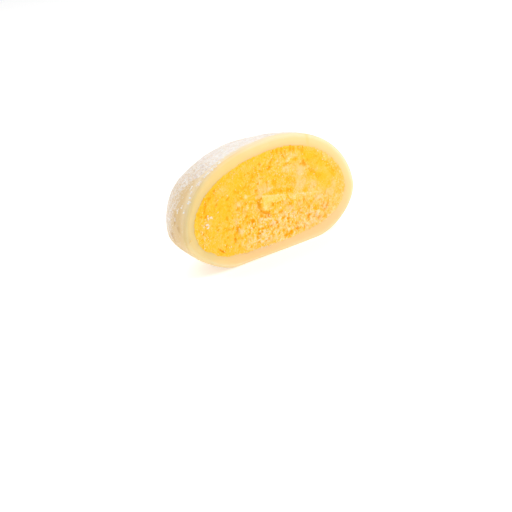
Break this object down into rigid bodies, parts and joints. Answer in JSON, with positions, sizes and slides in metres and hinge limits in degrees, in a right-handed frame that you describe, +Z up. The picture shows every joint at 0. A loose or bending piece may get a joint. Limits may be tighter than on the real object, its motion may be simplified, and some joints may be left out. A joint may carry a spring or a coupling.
{
  "type": "mochi rice cake half",
  "caption": "Half of a round soft rice cake, cut straight down: a smooth pale skin round a torn golden filling.",
  "frame": {"origin": "on the surface that it rests on, under the middle of the half's box", "axes": "+X across the cut, from its taller-shouldered left flank to its right flank; the cut looks along -Y; +Z up"},
  "size_m": [0.0502, 0.0253, 0.027],
  "materials": {
    "skin": "soft cooked rice dough: moist and slightly see-through where cut, dusted with starch outside",
    "filling": "crumbly golden custard or bean paste, torn and matte"
  },
  "bodies": {
    "root": {"rice_cake_skin": "skin", "golden_filling": "filling"}
  },
  "joints": []
}
